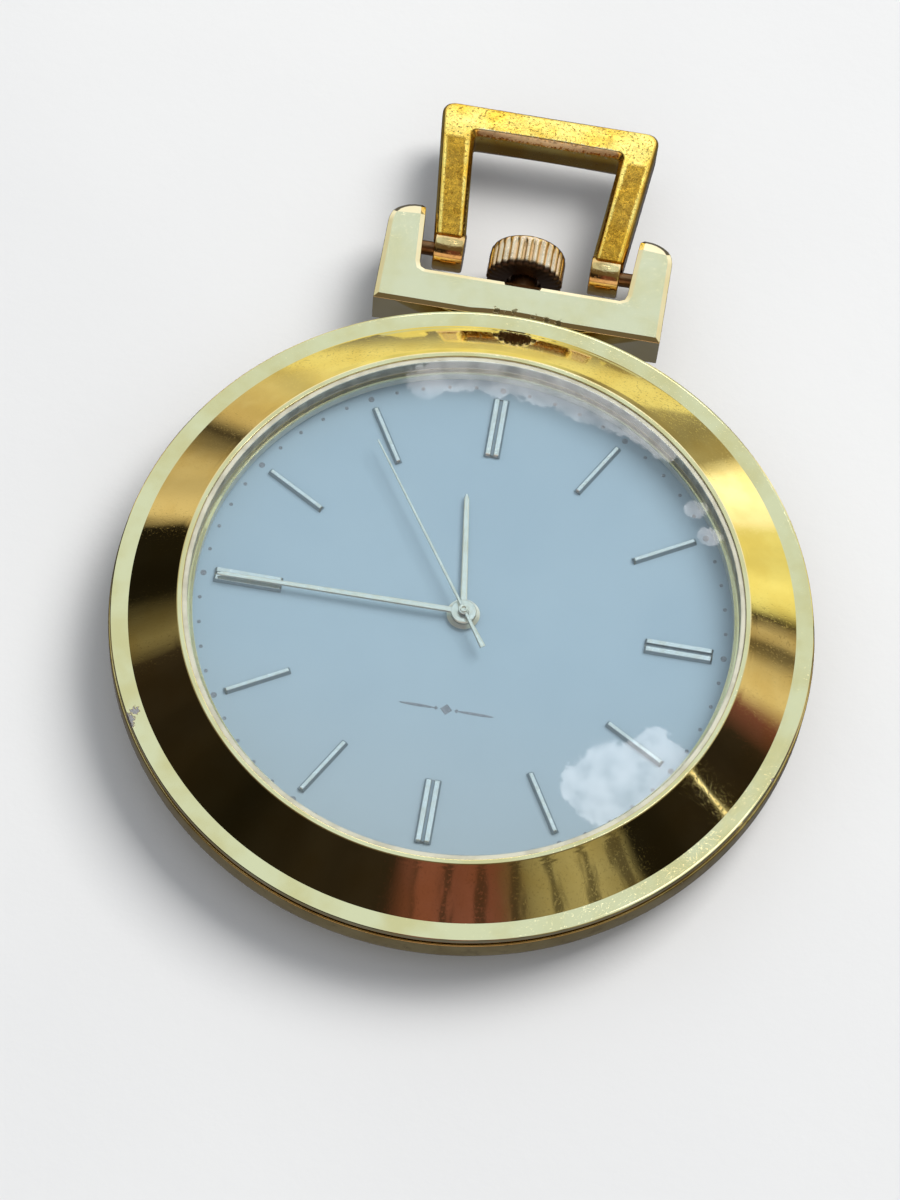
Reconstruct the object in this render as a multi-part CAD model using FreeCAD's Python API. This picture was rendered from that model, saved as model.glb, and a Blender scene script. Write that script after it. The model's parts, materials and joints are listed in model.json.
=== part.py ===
import FreeCAD, Part
import math
import os

# A thin gold-plated quartz fob watch: a round case with a raised bevelled bezel,
# a square bracket across 12 o'clock, a stirrup bow hinged in it and a fluted crown.
# Millimetres. Origin at the centre of the case back's outer face, +Y to 12 o'clock, +Z out of the dial.

V = FreeCAD.Vector
X, Y, Z = V(1, 0, 0), V(0, 1, 0), V(0, 0, 1)

# ---- case ----
case_d = 42.0                  # flat rim of the bezel
case_r = case_d / 2
band_r = case_r + 0.1          # side band, a little proud of the rim
case_wall_in = case_r - 2.8    # inner radius of the mid case
rim_z = 4.4            # height of the flat rim above the case back
rim_t = 0.4
joint_groove = 0.2     # dark line between bezel and mid case
back_joint_z = 1.5     # where the snap-on back meets the mid case
back_r = case_r - 0.7
back_flat_r = case_r - 6.0
back_t = 0.45
snap_t = 0.35
snap_top = 2.0

# ---- bezel and crystal ----
bevel_foot_r = case_r - 1.08
bevel_top_r = case_r - 4.0
bevel_rise = 1.8
lip_w = 0.3
gasket_w = 0.3
crystal_t = 0.95
crystal_dome = 0.4
ledge_w = 0.6
ledge_t = 0.2
ring_gap = 0.1         # play around the dial ring inside the bezel

# ---- dial ----
dial_z = rim_z - 0.7
dial_t = 0.4
dial_r = bevel_top_r + 0.2
baton_in, baton_out = dial_r - 6.25, dial_r - 2.15
baton_w = 0.48
quarter_w = 1.0
baton_t = 0.28
baton_edge = 0.09      # chamfer round the top of a baton
cut_w, cut_d = 0.18, 0.12      # the cut down a double baton
dial_play = 0.12               # between the hour wheel's tube and the dial's hole

# ---- bracket, bow and pins ----
bracket_w = 18.0
bar_y0, bar_y1 = case_r - 0.2, case_r + 2.4
bracket_t = 2.7
ear_in_low, ear_in_top = bracket_w / 2 - 2.47, bracket_w / 2 - 2.17
ear_top_y = bar_y1 + 4.9
ear_face_y = bar_y1 + 3.9      # the front face ends here and the sloped facet begins
ear_drop = 0.45
ear_cut = 1.8          # outer corner cut
edge = 0.22            # narrow chamfer along the bracket's edges
pin_y = bar_y1 + 2.3
pin_z = rim_z - bracket_t / 2
pin_d = 0.9
pin_fit = 0.03
pin_depth = 1.4        # how far a pin reaches into ear and knuckle
bow_t = 2.6
knuckle_r = bow_t / 2 - 0.05
knuckle_out = ear_in_low - 0.65
knuckle_in = knuckle_out - 1.88
leg_foot_y = pin_y + 0.45
leg_in_low, leg_out_low = knuckle_in, knuckle_out + 0.13
leg_in_top, leg_out_top = leg_in_low + 0.65, leg_out_low + 1.14
bow_in_y = pin_y + 8.3
bow_top_y = bow_in_y + 2.1
bow_corner = 0.9
bow_in_corner = 0.5
bow_edge = 0.3

# ---- crown and stem ----
stem_z = 2.6
stem_d = 1.0
crown_d = 4.8
crown_y0 = bar_y1 + 1.1
crown_y1 = crown_y0 + 2.4
crown_flutes = 28
flute_r = 0.17
crown_edge = 0.4
tube_od, tube_id = 1.7, 1.3
tube_end = crown_y1 - 0.9
crown_bore_d = 2.1
crown_floor = tube_end + 0.1
stem_end = crown_floor + 0.4
pulled = 1.0           # travel of the crown
seal_len = 1.8
seal_y1 = tube_end - pulled - 0.1
seal_fit = 0.01
run_fit = 0.03
lever_groove_y = 9.35
lever_groove_w = 0.44
lever_groove_d = 0.56
square_w = 0.58
square_y0, square_y1 = 6.0, 8.9
pilot_d = 0.5
stem_tip = 5.6

# ---- movement ----
move_r = 13.0
plate_z, plate_t = 2.3, 0.6
bridge_z, bridge_t = 0.75, 0.25
holder_r = case_wall_in - 0.5
holder_in = move_r + 0.05
wall_t = 0.7
wall_z = 1.0
gear_t = 0.15
pivot_r = 0.1
arbor_r = 0.16
hole_fit = 0.03
slot_w = 1.5
bearing_y = 11.0
bearing_half = 1.1
screw_head_d, screw_head_t = 1.3, 0.2
screw_d = 0.6
screw_tip = 2.7
screw_slot_w = 0.18

# Going train: module, teeth and the heights of the wheels.
m_rotor, t_rotor_pinion, t_inter = 0.085, 8, 40
m_inter, t_inter_pinion, t_seconds = 0.11, 8, 48
m_third, t_seconds_pinion, t_third = 0.09, 8, 60
m_center, t_third_pinion, t_center = 0.085, 8, 64
m_motion, t_cannon, t_minute = 0.1, 12, 36
m_hour, t_minute_pinion, t_hour = 0.096, 10, 40
t_setting = 18
z_seconds, z_inter, z_third, z_center = 1.12, 1.42, 1.42, 1.88
z_minute, z_hour = 3.0, 3.3
third_at, inter_at, rotor_at, minute_at = 160.0, -30.0, -60.0, 90.0   # directions, degrees
magnet_r = 0.7
magnet_z0, magnet_z1 = 1.8, 2.22

# ---- hands, set to 11:44:54 ----
hour_len, minute_len, seconds_len = dial_r - 9.1, dial_r - 2.35, dial_r - 4.7
hour_tail, minute_tail, seconds_tail = 1.2, 1.4, 2.7
z_hour_hand, z_minute_hand, z_seconds_hand = dial_z + 0.6, dial_z + 0.9, dial_z + 1.2
hand_t = 0.12
hour_hub_r, minute_hub_r, seconds_hub_r, seconds_cap = 1.0, 0.78, 0.34, 0.1
clock_seconds = 54.4
clock_minutes = 44 + clock_seconds / 60
clock_hours = 11 + clock_minutes / 60
center_bore = 0.15
cannon_bore = 0.3
cannon_tube = 0.5
hour_bore = 0.53
hour_tube = 0.74

# ---- battery and electronics ----
battery_d, battery_t = 6.8, 2.55
battery_at = V(-6.8, -5.2, 0.8)
coil_x, coil_y0, coil_y1 = 7.9, -5.3, 3.3
coil_w, coil_h = 2.0, 0.76
core_w, core_t = 0.9, 0.3
coil_end, coil_end_r = 1.2, 0.9
coil_corner = 0.25
stator_t = 0.24
stator_z = plate_z - stator_t
core_z = stator_z - core_t
board_z, board_t = 1.75, 0.2


def disc(r, z0, z1, at=V(0, 0, 0)):
    return Part.makeCylinder(r, z1 - z0, V(at.x, at.y, z0), Z)


def tube(r_out, r_in, z0, z1, at=V(0, 0, 0)):
    return disc(r_out, z0, z1, at).cut(disc(r_in, z0 - 1, z1 + 1, at))


def rod(r, y0, y1, x=0.0, z=stem_z):
    return Part.makeCylinder(r, y1 - y0, V(x, y0, z), Y)


def box(x0, x1, y0, y1, z0, z1):
    return Part.makeBox(x1 - x0, y1 - y0, z1 - z0, V(x0, y0, z0))


def prism(points, z0, z1):
    wire = Part.makePolygon([V(x, y, z0) for x, y in points + points[:1]])
    return Part.Face(wire).extrude(V(0, 0, z1 - z0))


def turned(profile):
    """A ring or disc turned about Z from (radius, height) corners."""
    wire = Part.makePolygon([V(r, 0, z) for r, z in profile + profile[:1]])
    return Part.Face(wire).revolve(V(0, 0, 0), Z, 360)


def spun(shape, degrees, at=V(0, 0, 0)):
    turn = shape.copy()
    turn.rotate(at, Z, degrees)
    return turn


def fused(shapes):
    return shapes[0].multiFuse(shapes[1:]).removeSplitter() if len(shapes) > 1 else shapes[0]


def polar(r, degrees, start=V(0, 0, 0)):
    a = math.radians(degrees)
    return start + V(r * math.cos(a), r * math.sin(a), 0)


def gear(teeth, module, z0, z1, at, spin):
    """A toothed disc: each tooth has two curved flanks and a flat top. spin is the angle of one tooth."""
    pitch, tip, root = module * teeth / 2, module * (teeth / 2 + 0.85), module * (teeth / 2 - 1.1)
    step = 2 * math.pi / teeth
    half_root, half_pitch, half_tip = step * 0.30, step * 0.215, step * 0.09
    edges, first, last = [], None, None

    def point(r, a):
        return V(at.x + r * math.cos(a), at.y + r * math.sin(a), z0)

    for k in range(teeth):
        a = math.radians(spin) + k * step
        r0, p0, t0 = point(root, a - half_root), point(pitch, a - half_pitch), point(tip, a - half_tip)
        r1, p1, t1 = point(root, a + half_root), point(pitch, a + half_pitch), point(tip, a + half_tip)
        if last:
            edges.append(Part.makeLine(last, r0))
        else:
            first = r0
        edges += [Part.Arc(r0, p0, t0).toShape(), Part.makeLine(t0, t1), Part.Arc(t1, p1, r1).toShape()]
        last = r1
    edges.append(Part.makeLine(last, first))
    return Part.Face(Part.Wire(edges)).extrude(V(0, 0, z1 - z0))


def meshed(teeth_a, spin_a, teeth_b, line):
    """The spin that puts a gap of wheel b on a tooth of wheel a, along the line of centres."""
    part_a = (line - spin_a) * teeth_a / 360
    return line + 180 - (0.5 - part_a) * 360 / teeth_b


def rounded(shape, radius, wanted):
    picked = [e for e in shape.Edges if wanted(e)]
    return shape.makeFillet(radius, picked)


def save(name, shape):
    shape.exportStep("parts/%s.step" % name)


os.makedirs("parts", exist_ok=True)

# ---- mid case, back and bezel ----
under_rim = rim_z - rim_t
tube_hole = rod(tube_od / 2, case_wall_in - 1, tube_end)
gasket_in, gasket_out, gasket_h = case_wall_in + 0.4, case_wall_in + 0.8, 0.2
step_r = case_r - 0.45
mid_case = turned([
    (case_wall_in, back_joint_z), (back_r, back_joint_z), (band_r - 0.35, back_joint_z + 0.18),
    (band_r - 0.1, back_joint_z + 0.45), (band_r, back_joint_z + 0.8), (band_r, under_rim - joint_groove),
    (step_r, under_rim - joint_groove), (step_r, under_rim),
    (case_wall_in, under_rim)])
seal_groove = tube(gasket_out, gasket_in, back_joint_z - 0.1, back_joint_z + gasket_h)
save("mid_case", mid_case.cut(tube_hole).cut(seal_groove))
save("back_gasket", tube(gasket_out, gasket_in, back_joint_z, back_joint_z + gasket_h))

back = turned([
    (0, 0), (back_flat_r, 0), (back_r - 3.5, 0.12), (back_r - 1.9, 0.48), (back_r - 0.8, 0.95),
    (back_r, back_joint_z),
    (case_wall_in, back_joint_z), (case_wall_in, snap_top), (case_wall_in - snap_t, snap_top),
    (case_wall_in - snap_t, back_joint_z - 0.05), (back_flat_r - 0.2, back_t), (0, back_t)])
save("case_back", back)

lip_z = rim_z + bevel_rise
seat_r = bevel_top_r - lip_w
ledge_r = seat_r - ledge_w
ledge_top = lip_z - crystal_t
ledge_low = ledge_top - ledge_t
bezel_wall = dial_r + ring_gap
skirt_in, skirt_low, skirt_top = case_wall_in - 0.4, under_rim - 0.6, under_rim + 0.15
rim_edge = 0.06
save("bezel", turned([
    (ledge_r, ledge_low), (bezel_wall, ledge_low), (bezel_wall, skirt_top), (skirt_in, skirt_top),
    (skirt_in, skirt_low), (case_wall_in, skirt_low), (case_wall_in, under_rim), (case_r, under_rim),
    (case_r, rim_z - rim_edge), (case_r - rim_edge, rim_z), (bevel_foot_r, rim_z),
    (bevel_top_r, lip_z), (seat_r, lip_z), (seat_r, ledge_top), (ledge_r, ledge_top)]))
crystal_r = seat_r - gasket_w
save("crystal_gasket", tube(seat_r, crystal_r, ledge_top, lip_z - 0.1))
dome_r = (crystal_r ** 2 + crystal_dome ** 2) / (2 * crystal_dome)
dome = Part.makeSphere(dome_r, V(0, 0, lip_z + crystal_dome - dome_r))
save("crystal", disc(crystal_r, ledge_top, lip_z + 1).common(dome))
dial_top = dial_z + dial_t
save("dial_ring", turned([(ledge_r, dial_top + 0.35), (ledge_r + 0.25, dial_top), (dial_r, dial_top),
                          (dial_r, ledge_low), (ledge_r, ledge_low)]))

# ---- bracket ----
half_w = bracket_w / 2
bracket_low = rim_z - bracket_t
face = [(-half_w, bar_y0), (half_w, bar_y0), (half_w, ear_top_y - ear_cut), (half_w - ear_cut, ear_top_y),
        (ear_in_top, ear_top_y), (ear_in_low, bar_y1)]
bracket = prism(face + [(-x, y) for x, y in reversed(face[2:])], bracket_low, rim_z)
side = [(bar_y0, bracket_low), (ear_face_y, bracket_low), (ear_top_y, bracket_low + ear_drop),
        (ear_top_y, rim_z - ear_drop), (ear_face_y, rim_z), (bar_y0, rim_z)]
side_wire = Part.makePolygon([V(-half_w, y, z) for y, z in side + side[:1]])
bracket = bracket.common(Part.Face(side_wire).extrude(V(bracket_w, 0, 0)))


def along_bracket_edge(e):
    middle = e.valueAt((e.FirstParameter + e.LastParameter) / 2)
    flat = abs(middle.z - rim_z) < 1e-6 or abs(middle.z - bracket_low) < 1e-6
    inner = abs(middle.y - bar_y1) < 1e-6 or (abs(middle.x) < ear_in_top and middle.y > bar_y1)
    outer = abs(abs(middle.x) - half_w) < 1e-6 or abs(middle.y - bar_y0) < 1e-6
    return flat and (inner or outer)


bracket = bracket.makeChamfer(edge, [e for e in bracket.Edges if along_bracket_edge(e)])
bracket = bracket.cut(disc(band_r, 0, under_rim)).cut(disc(case_r, under_rim, lip_z)).cut(tube_hole)
pin_in = knuckle_out - pin_depth
pin_out = ear_in_top + pin_depth
pins = [Part.makeCylinder(pin_d / 2, pin_out - pin_in, V(s * pin_in, pin_y, pin_z), X * s) for s in (-1, 1)]
for pin in pins:
    bracket = bracket.cut(pin)
save("bow_bracket", bracket)
save("bow_pins", Part.makeCompound(pins))

# ---- bow ----
bow_low, bow_high = pin_z - bow_t / 2, pin_z + bow_t / 2
outer = [(-leg_out_low, leg_foot_y), (-leg_out_top, bow_top_y),
         (leg_out_top, bow_top_y), (leg_out_low, leg_foot_y)]
inner = [(-leg_in_low, leg_foot_y - 1), (-leg_in_top, bow_in_y),
         (leg_in_top, bow_in_y), (leg_in_low, leg_foot_y - 1)]
bow = rounded(prism(outer, bow_low, bow_high), bow_corner,
              lambda e: abs(e.Vertexes[0].Z - e.Vertexes[-1].Z) > 1 and e.Vertexes[0].Y > bow_in_y)
hole = rounded(prism(inner, bow_low - 1, bow_high + 1), bow_in_corner,
               lambda e: abs(e.Vertexes[0].Z - e.Vertexes[-1].Z) > 1 and e.Vertexes[0].Y > bow_in_y - 1)
bow = bow.cut(hole)


def bow_rim(e):
    middle = e.valueAt((e.FirstParameter + e.LastParameter) / 2)
    level = abs(middle.z - bow_low) < 1e-6 or abs(middle.z - bow_high) < 1e-6
    return level and middle.y > leg_foot_y + 1e-6


bow = bow.makeChamfer(bow_edge, [e for e in bow.Edges if bow_rim(e)])
knuckles = [Part.makeCylinder(knuckle_r, knuckle_out - knuckle_in, V(s * knuckle_in, pin_y, pin_z), X * s)
            for s in (-1, 1)]
bow = fused([bow] + knuckles)
for s in (-1, 1):
    bow = bow.cut(Part.makeCylinder(pin_d / 2 + pin_fit, pin_depth + 1 + pin_fit,
                                    V(s * (pin_in - pin_fit), pin_y, pin_z), X * s))
save("bow", bow)

# ---- crown, tube, seal and stem ----
crown = rod(crown_d / 2, crown_y0, crown_y1)
crown = crown.makeChamfer(crown_edge, [e for e in crown.Edges if abs(e.CenterOfMass.y - crown_y1) < 1e-6])
for k in range(crown_flutes):
    a = 2 * math.pi * k / crown_flutes
    crown = crown.cut(rod(flute_r, crown_y0 - 1, crown_y1 - crown_edge - 0.05, crown_d / 2 * math.cos(a),
                          stem_z + crown_d / 2 * math.sin(a)))
crown = crown.cut(rod(crown_bore_d / 2, crown_y0 - 1, crown_floor))
crown = crown.cut(rod(stem_d / 2, crown_floor - 1, stem_end))
save("crown", crown)
save("crown_tube", rod(tube_od / 2, case_wall_in + 0.1, tube_end).cut(rod(tube_id / 2, 0, crown_y1)))
seal = rod(tube_id / 2 - seal_fit, seal_y1 - seal_len, seal_y1)
save("crown_gasket", seal.cut(rod(stem_d / 2 + seal_fit, 0, crown_y1)))

square = box(-square_w / 2, square_w / 2, square_y0, square_y1, stem_z - square_w / 2, stem_z + square_w / 2)
stem = fused([
    rod(pilot_d / 2, stem_tip, square_y0), square, rod(stem_d / 2, square_y1, stem_end)])
groove_y0 = lever_groove_y - lever_groove_w / 2
groove = rod(stem_d, groove_y0, groove_y0 + lever_groove_w).cut(rod(lever_groove_d / 2, 0, bearing_y))
save("stem", stem.cut(groove))

# ---- keyless works on the dial side: sliding pinion, setting lever, yoke ----
pinion_r = 0.65
slide_y0, slide_y1 = 7.3, 8.5
slide_groove_y, slide_groove_w, slide_groove_d = 7.9, 0.42, 0.2
notches, notch_r, notch_len = 10, 0.09, 0.25
pinion = rod(pinion_r, slide_y0, slide_y1)
for k in range(notches):
    a = 2 * math.pi * k / notches
    pinion = pinion.cut(rod(notch_r, slide_y0 - notch_r, slide_y0 + notch_len, pinion_r * math.cos(a),
                            stem_z + pinion_r * math.sin(a)))
bore = square_w / 2 + hole_fit
pinion = pinion.cut(box(-bore, bore, slide_y0 - 1, slide_y1 + 1, stem_z - bore, stem_z + bore))
waist = rod(1, slide_groove_y - slide_groove_w / 2, slide_groove_y + slide_groove_w / 2)
pinion = pinion.cut(waist.cut(rod(pinion_r - slide_groove_d, 0, bearing_y)))
save("sliding_pinion", pinion)

plate_top = plate_z + plate_t
lever_reach = 2.0
eye_r, eye_hole_r, eye_post_r = 0.5, 0.25, 0.22
lever_tail, lever_tail_w = V(1.2, -1.0, 0), 0.5
yoke_tip, yoke_tip_w = V(-0.1, slide_groove_y, 0), 0.2
yoke_tail, yoke_tail_w = V(-1.5, -0.6, 0), 0.36
lever_pivot = V(lever_reach, lever_groove_y + pulled / 2, 0)
lever_z = plate_top + 0.05
lever_t = 0.14
nose_w = 0.18


def arm(a, b, width, z0, z1):
    """A flat arm with round ends from a to b."""
    along = (b - a).normalize()
    across = V(-along.y, along.x, 0) * (width / 2)
    corners = [a + across, b + across, b - across, a - across]
    bar = prism([(p.x, p.y) for p in corners], z0, z1)
    return fused([bar, disc(width / 2, z0, z1, a), disc(width / 2, z0, z1, b)])


nose = V(0, lever_groove_y, 0)
lever = fused([arm(nose, lever_pivot, nose_w, lever_z, lever_z + lever_t),
               disc(eye_r, lever_z, lever_z + lever_t, lever_pivot),
               arm(lever_pivot, lever_pivot + lever_tail, lever_tail_w, lever_z, lever_z + lever_t)])
save("setting_lever", lever.cut(disc(eye_hole_r, 0, lip_z, lever_pivot)))
slide_travel = 1.1
yoke_z = lever_z + 0.13
yoke_pivot = V(-2.5, slide_groove_y - slide_travel / 2, 0)
yoke = fused([arm(yoke_tip, yoke_pivot, yoke_tip_w, yoke_z, yoke_z + lever_t),
              disc(eye_r, yoke_z, yoke_z + lever_t, yoke_pivot),
              arm(yoke_pivot, yoke_pivot + yoke_tail, yoke_tail_w, yoke_z, yoke_z + lever_t)])
save("yoke", yoke.cut(disc(eye_hole_r, 0, lip_z, yoke_pivot)))

# ---- wheel centres ----
third = polar(m_third * (t_seconds_pinion + t_third) / 2, third_at)
inter = polar(m_inter * (t_inter_pinion + t_seconds) / 2, inter_at)
rotor = polar(m_rotor * (t_rotor_pinion + t_inter) / 2, rotor_at, inter)
minute = polar(m_motion * (t_cannon + t_minute) / 2, minute_at)
setting = polar(m_motion * (t_minute + t_setting) / 2, minute_at, minute)

# ---- main plate ----
posts = [polar(10.6, 62), polar(10.9, 165), polar(10.9, 282)]
clamp_post = polar(11.0, 195)
post_r = 0.9
contact_at = V(-8.4, 0.9, 0)
contact_r, contact_w, contact_t = 0.6, 0.9, 0.1
clamp_post_r = 0.8
setting_post_r, minute_post_r = 0.2, 0.16
plate_hole_r = 0.36
plate = fused([disc(move_r, plate_z, plate_top), tube(move_r, move_r - wall_t, wall_z, plate_z)]
              + [disc(post_r, bridge_z + bridge_t, plate_z, p) for p in posts]
              + [disc(clamp_post_r, battery_at.z, plate_z, clamp_post)]
              + [disc(eye_post_r, plate_top, lever_z + lever_t, lever_pivot),
                 disc(eye_post_r, plate_top, yoke_z + lever_t, yoke_pivot),
                 disc(setting_post_r, plate_top, z_minute + 2 * gear_t, setting),
                 disc(minute_post_r, plate_top, z_hour + gear_t, minute),
                 box(-bearing_half, bearing_half, bearing_y, move_r - 0.3, stem_z - 0.75, stem_z + 0.75)])
plate = plate.cut(box(-slot_w / 2, slot_w / 2, stem_tip - 0.15, bearing_y, plate_z - 1, plate_top + 1))
plate = plate.cut(rod(stem_d / 2 + run_fit, bearing_y - 1, move_r + 1))
plate = plate.cut(disc(battery_d / 2 + 0.1, 0, lip_z, battery_at))
plate = plate.cut(disc(plate_hole_r, 0, lip_z))
for spot in (third, inter, rotor):
    plate = plate.cut(disc(pivot_r + hole_fit, 0, plate_z + 0.4, spot))
plate = plate.cut(disc(contact_r + 0.15, 0, lip_z, contact_at))
for spot in posts + [clamp_post]:
    plate = plate.cut(disc(screw_d / 2, 0, screw_tip, spot))
save("main_plate", plate)

# ---- train bridge and its screws ----
origin = V(0, 0, 0)
bridge_arm_w, bridge_link_w, bridge_boss_r = 1.9, 1.6, 1.4
arms = [arm(origin, p, bridge_arm_w, bridge_z, bridge_z + bridge_t) for p in posts]
bridge = fused(arms + [disc(bridge_boss_r, bridge_z, bridge_z + bridge_t, p) for p in (third, inter, rotor)]
               + [arm(a, b, bridge_link_w, bridge_z, bridge_z + bridge_t)
                  for a, b in ((origin, third), (origin, inter), (inter, rotor))])
for spot in (origin, third, inter, rotor):
    bridge = bridge.cut(disc(pivot_r + hole_fit, 0, lip_z, spot))
for spot in posts:
    bridge = bridge.cut(disc(screw_d / 2, 0, lip_z, spot))
save("train_bridge", bridge)


def screw(spot, seat_z):
    head = disc(screw_head_d / 2, seat_z - screw_head_t, seat_z, spot)
    slot = box(spot.x - screw_head_d, spot.x + screw_head_d, spot.y - screw_slot_w / 2,
               spot.y + screw_slot_w / 2, 0, seat_z - screw_head_t / 2)
    return fused([head.cut(slot), disc(screw_d / 2, seat_z, screw_tip, spot)])


save("bridge_screws", Part.makeCompound([screw(p, bridge_z) for p in posts]))

# ---- going train ----
bridge_in, plate_in = bridge_z + 0.02, plate_z + 0.35


def arbor(spot, z0=bridge_z + bridge_t + 0.03, z1=plate_z - 0.03):
    return fused([disc(arbor_r, z0, z1, spot), disc(pivot_r, bridge_in, plate_in, spot)])


def wheel(teeth, module, z0, at, spin):
    """A thin wheel with four openings around its hub."""
    body = gear(teeth, module, z0, z0 + gear_t, at, spin)
    r = module * teeth / 2
    web = tube(r * 0.72, r * 0.32, z0 - 1, z0 + 1, at)
    bars = [spun(box(-r, r, -r * 0.09, r * 0.09, z0 - 2, z0 + 2).translated(at), a, at) for a in (20, 110)]
    return body.cut(web.cut(fused(bars)))


seconds_spin = 0.0
third_spin = meshed(t_seconds_pinion, seconds_spin, t_third, third_at)
center_spin = meshed(t_third_pinion, third_spin, t_center, third_at + 180)
inter_pinion_spin = meshed(t_seconds, seconds_spin, t_inter_pinion, inter_at)
rotor_spin = meshed(t_inter, 0.0, t_rotor_pinion, rotor_at)
minute_spin = meshed(t_cannon, 0.0, t_minute, minute_at)
hour_spin = meshed(t_minute_pinion, 0.0, t_hour, minute_at + 180)
setting_spin = meshed(t_minute, minute_spin, t_setting, minute_at)

seconds_top = z_seconds_hand + hand_t
save("seconds_wheel", fused([
    wheel(t_seconds, m_inter, z_seconds, origin, seconds_spin),
    gear(t_seconds_pinion, m_third, z_seconds + gear_t, z_third + gear_t + 0.08, origin, seconds_spin),
    disc(pivot_r, bridge_in, seconds_top, origin)]))
save("third_wheel", fused([
    wheel(t_third, m_third, z_third, third, third_spin),
    gear(t_third_pinion, m_center, z_third + gear_t, z_center + gear_t + 0.08, third, third_spin),
    arbor(third)]))
save("intermediate_wheel", fused([
    wheel(t_inter, m_rotor, z_inter, inter, 0.0),
    gear(t_inter_pinion, m_inter, z_seconds - 0.05, z_inter, inter, inter_pinion_spin), arbor(inter)]))
save("rotor_pinion", fused([
    gear(t_rotor_pinion, m_rotor, z_inter - 0.08, z_inter + gear_t + 0.08, rotor, rotor_spin), arbor(rotor)]))
save("rotor_magnet", tube(magnet_r, arbor_r, magnet_z0, magnet_z1, rotor))

# ---- minute arbor, cannon pinion, motion wheels ----
cannon_z = plate_top + 0.06
minute_top = z_minute_hand + hand_t
save("center_wheel", fused([
    wheel(t_center, m_center, z_center, origin, center_spin),
    disc(cannon_bore, z_center, minute_top, origin)]).cut(disc(center_bore, 0, lip_z)))
save("cannon_pinion", fused([
    gear(t_cannon, m_motion, cannon_z, z_minute + gear_t + 0.05, origin, 0.0),
    disc(cannon_tube, cannon_z, z_minute_hand, origin)]).cut(disc(cannon_bore, 0, lip_z)))
minute_bore = minute_post_r + hole_fit
save("minute_wheel", fused([
    wheel(t_minute, m_motion, z_minute, minute, minute_spin),
    gear(t_minute_pinion, m_hour, z_minute, z_hour + gear_t, minute, 0.0),
]).cut(disc(minute_bore, 0, lip_z, minute)))
save("hour_wheel", fused([
    wheel(t_hour, m_hour, z_hour, origin, hour_spin), disc(hour_tube, z_hour, z_hour_hand + hand_t, origin),
]).cut(disc(hour_bore, 0, lip_z)))
save("setting_wheel", wheel(t_setting, m_motion, z_minute, setting, setting_spin).cut(
    disc(setting_post_r + hole_fit, 0, lip_z, setting)))
washer_z = z_hour + gear_t + 0.03
washer_r = 1.5
save("dial_washer", tube(washer_r, hour_tube + dial_play / 2, washer_z, dial_z))

# ---- electronics ----
ends = [V(coil_x, coil_y0 - coil_end, 0), V(coil_x, coil_y1 + coil_end, 0)]
core = fused([arm(ends[0], ends[1], core_w, core_z, stator_z)]
             + [disc(coil_end_r, core_z, stator_z, end) for end in ends])
save("coil_core", core)
coil_mid = core_z + core_t / 2
winding = box(coil_x - coil_w / 2, coil_x + coil_w / 2, coil_y0, coil_y1,
              coil_mid - coil_h / 2, coil_mid + coil_h / 2)
winding = rounded(winding, coil_corner, lambda e: abs(e.Vertexes[0].Y - e.Vertexes[-1].Y) > 1)
save("coil_winding", winding.cut(core))
stator_top = stator_z + stator_t
stator_w, stator_r = 1.4, 1.5
paths = [[rotor, V(5.0, ends[0].y, 0), ends[0]],
         [rotor, V(5.6, -0.4, 0), V(5.6, ends[1].y, 0), ends[1]]]
stator = fused([disc(stator_r, stator_z, stator_top, rotor)]
               + [arm(a, b, stator_w, stator_z, stator_top) for p in paths for a, b in zip(p, p[1:])])
save("stator", stator.cut(disc(magnet_r + 0.15, 0, lip_z, rotor)))

board = prism([(-10.6, 1.0), (-7.0, 0.2), (-6.2, 4.6), (-1.2, 5.4), (-1.2, 10.4), (-4.6, 10.8), (-8.6, 8.2)],
              board_z, board_z + board_t)
save("circuit_board", board.cut(disc(post_r, 0, lip_z, posts[1])))
chip = box(-5.4, -3.2, 6.4, 8.6, board_z - 0.4, board_z)
save("control_chip", chip)
can_r, can_len = 0.5, 4.6
save("timing_crystal", Part.makeCylinder(can_r, can_len, V(-8.0, 4.6, board_z - can_r), V(0.25, 1, 0)))

# ---- battery, clamp and contact ----
battery_low, battery_high = battery_at.z, battery_at.z + battery_t
cell_step, cell_ledge = 0.4, 0.7
cell = disc(battery_d / 2, battery_low, battery_high - cell_step, battery_at).fuse(
    disc(battery_d / 2 - cell_ledge, battery_low, battery_high, battery_at)).removeSplitter()
save("battery", cell)
save("battery_contact", fused([
    arm(battery_at, contact_at, contact_w, battery_high, battery_high + contact_t),
    disc(contact_r, board_z + board_t, battery_high + contact_t, contact_at)]))
clamp_t, clamp_w, clamp_pad_r = 0.12, 1.1, 1.6
clamp_low = battery_low - clamp_t
clamp = fused([arm(battery_at, clamp_post, clamp_w, clamp_low, battery_low),
               disc(clamp_pad_r, clamp_low, battery_low, battery_at),
               disc(clamp_post_r, clamp_low, battery_low, clamp_post)])
save("battery_clamp", clamp.cut(disc(screw_d / 2, 0, lip_z, clamp_post)))
save("clamp_screw", screw(clamp_post, clamp_low))

# ---- movement holder ----
stem_hole = rod(stem_d / 2 + 0.15, 0, holder_r + 1)
holder_low = back_t + 0.05
holder = turned([(holder_in, holder_low), (back_flat_r - 0.5, holder_low), (holder_r, back_joint_z + 0.1),
                 (holder_r, dial_z), (holder_in, dial_z)])
save("movement_holder", holder.cut(stem_hole))

# ---- dial and its batons ----
save("dial", disc(dial_r, dial_z, dial_top).cut(disc(hour_tube + dial_play, 0, lip_z)))


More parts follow.
